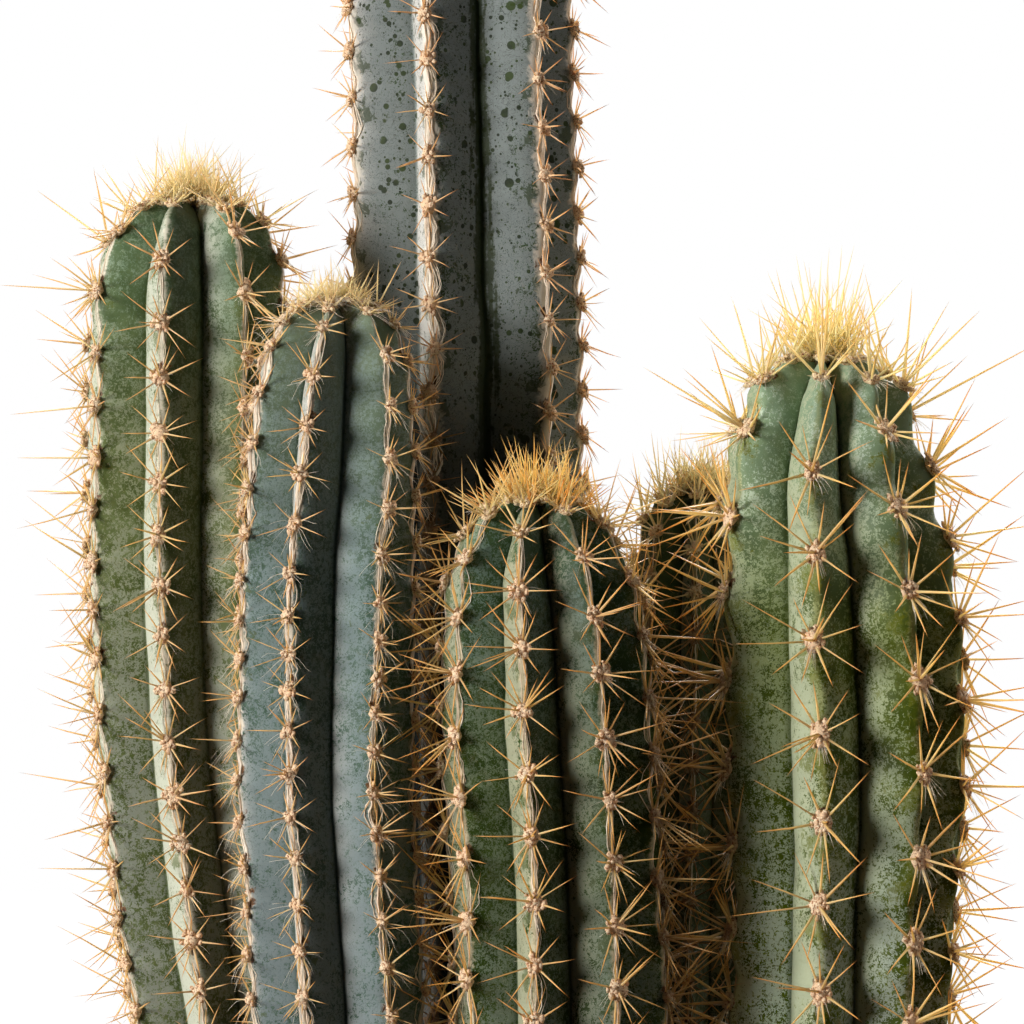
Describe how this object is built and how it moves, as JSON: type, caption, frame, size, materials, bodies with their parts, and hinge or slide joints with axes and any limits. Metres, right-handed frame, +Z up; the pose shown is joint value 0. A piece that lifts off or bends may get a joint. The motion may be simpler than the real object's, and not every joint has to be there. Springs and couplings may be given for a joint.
{
  "type": "potted tall cactus",
  "caption": "Group of tall ribbed columnar cactus stems with spines and woolly crowns, standing in soil in a plain tapered clay pot that rests on its flat underside.",
  "frame": {"origin": "centre of the pot's flat underside, on the surface that it stands on", "axes": "+Z up, along the pot's axis; -Y is the front, which the picture shows; +X is to the right as seen from the front"},
  "size_m": [0.28, 0.28, 0.8553],
  "materials": {
    "clay": "matte",
    "soil": "matte",
    "stem_left": "satin",
    "stem_left_front": "satin",
    "stem_tall": "satin",
    "stem_middle": "satin",
    "stem_back": "satin",
    "stem_right": "satin"
  },
  "bodies": {
    "root": {"pot": "clay", "soil": "soil", "stem_left": "stem_left", "stem_left_front": "stem_left_front", "stem_tall": "stem_tall", "stem_middle": "stem_middle", "stem_back": "stem_back", "stem_right": "stem_right"}
  },
  "joints": []
}
